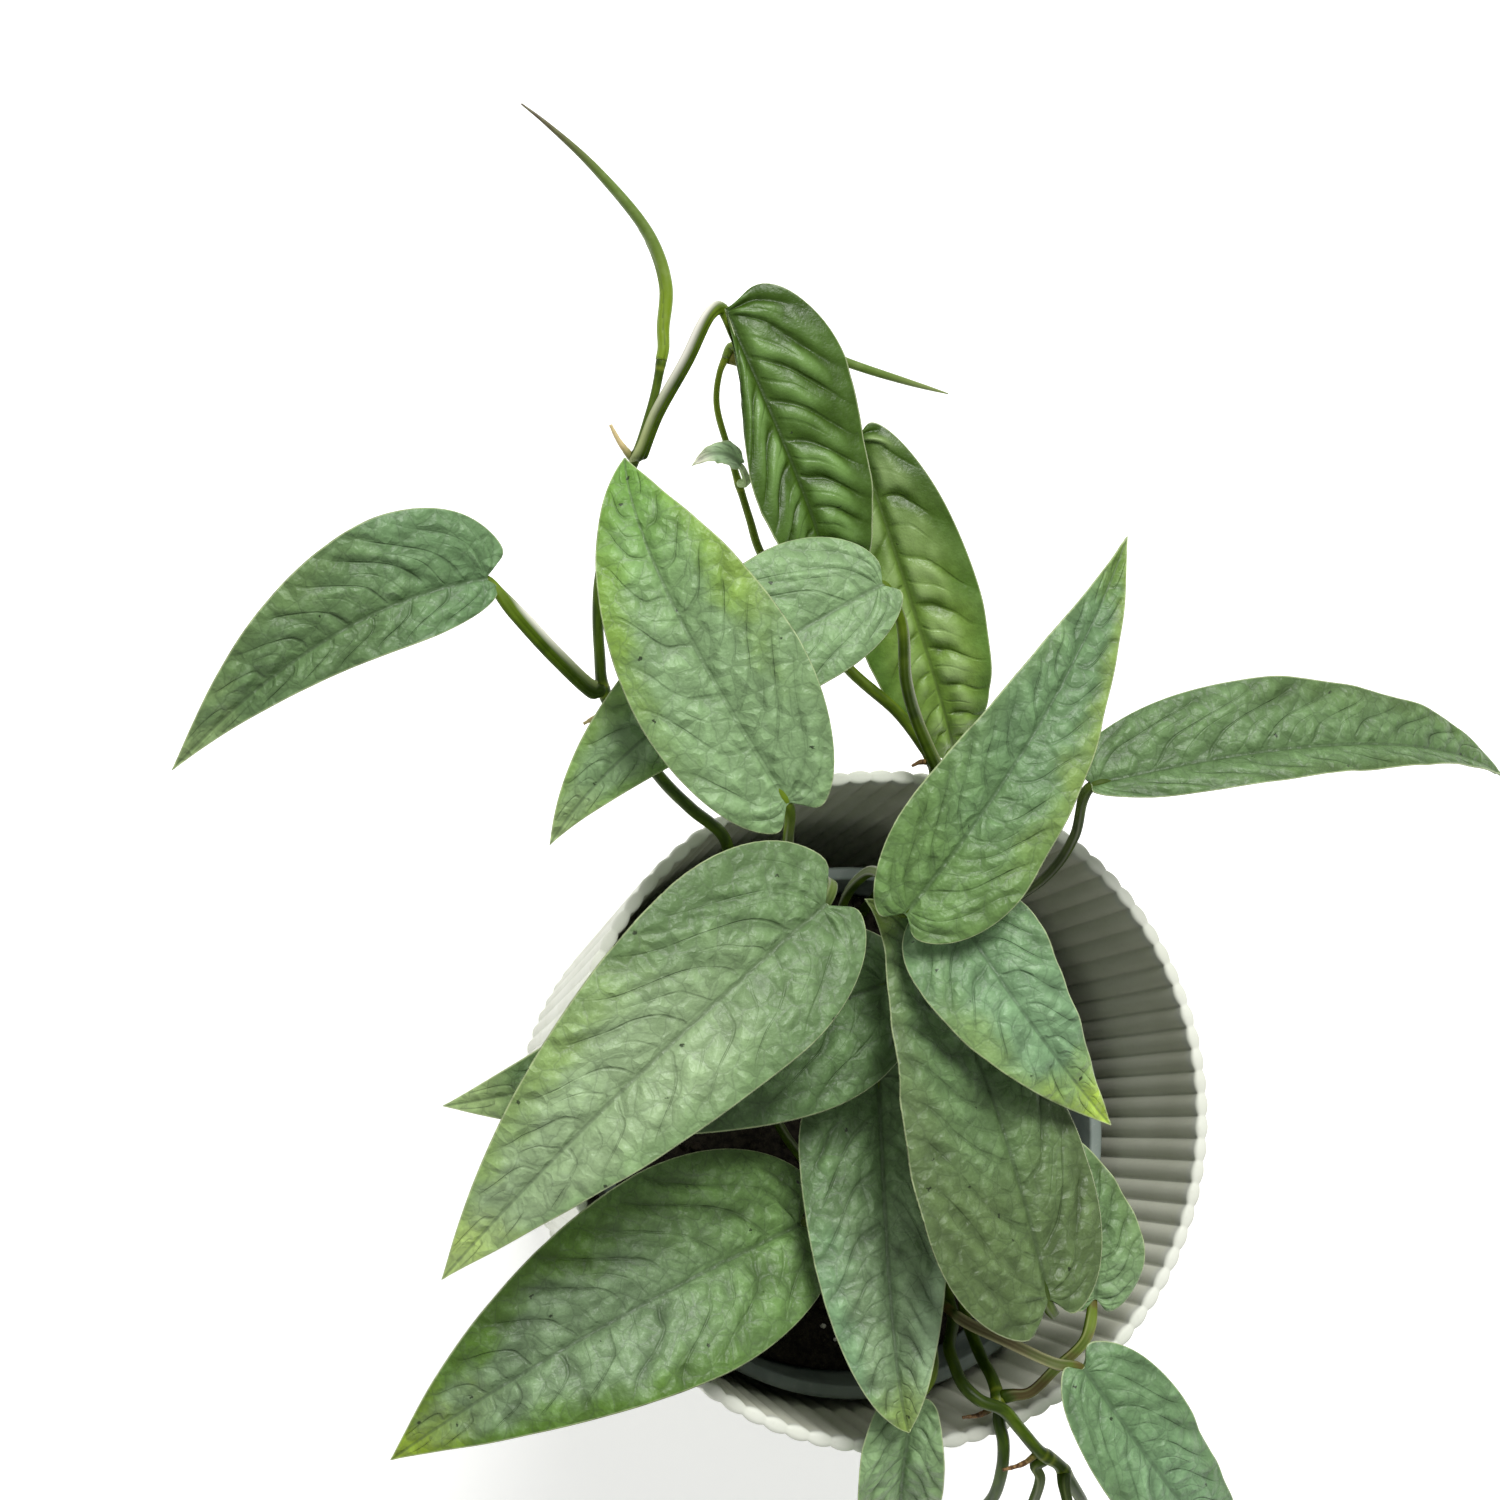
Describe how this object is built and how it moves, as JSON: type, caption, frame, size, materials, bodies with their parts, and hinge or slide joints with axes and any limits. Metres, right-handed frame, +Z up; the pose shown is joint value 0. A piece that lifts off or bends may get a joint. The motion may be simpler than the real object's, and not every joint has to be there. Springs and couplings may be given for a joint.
{
  "type": "potted trailing aroid house plant",
  "caption": "Cebu blue pothos with trailing vines and silvery lance-shaped leaves, in a nursery pot standing inside a fluted off-white cover pot.",
  "frame": {"origin": "centre of the cover pot's flat foot, on the surface it stands on", "axes": "+Z up, along the cover pot's axis; +Y towards the side that the two long vines reach out over; +X to the right when +Y points away"},
  "size_m": [0.297, 0.3132, 0.2029],
  "materials": {
    "cover_pot": "matte",
    "nursery_pot": "matte",
    "soil": "matte",
    "stem": "satin",
    "silver_leaf": "satin",
    "green_leaf": "satin",
    "new_leaf": "satin"
  },
  "bodies": {
    "root": {"cover_pot": "cover_pot", "nursery_pot": "nursery_pot", "potting_soil": "soil", "vine_1": "stem", "vine_2": "stem", "vine_3": "stem", "vine_4": "stem", "crown_stem_1": "stem", "crown_stem_2": "stem", "crown_stem_3": "stem", "leaf_far_left": "silver_leaf", "leaf_upper": "silver_leaf", "leaf_under_upper": "silver_leaf", "leaf_right": "silver_leaf", "leaf_far_right": "silver_leaf", "leaf_mid_right": "silver_leaf", "leaf_dark": "silver_leaf", "leaf_folded": "silver_leaf", "leaf_shaded": "silver_leaf", "leaf_broad": "silver_leaf", "leaf_lower_left": "silver_leaf", "leaf_small": "silver_leaf", "leaf_lower_right": "silver_leaf", "leaf_hanging": "silver_leaf", "leaf_trailing_1": "silver_leaf", "leaf_trailing_2": "silver_leaf", "leaf_trailing_3": "silver_leaf", "leaf_top": "green_leaf", "leaf_behind": "green_leaf", "young_leaf": "green_leaf", "rolled_leaf_1": "new_leaf", "rolled_leaf_2": "new_leaf"}
  },
  "joints": []
}
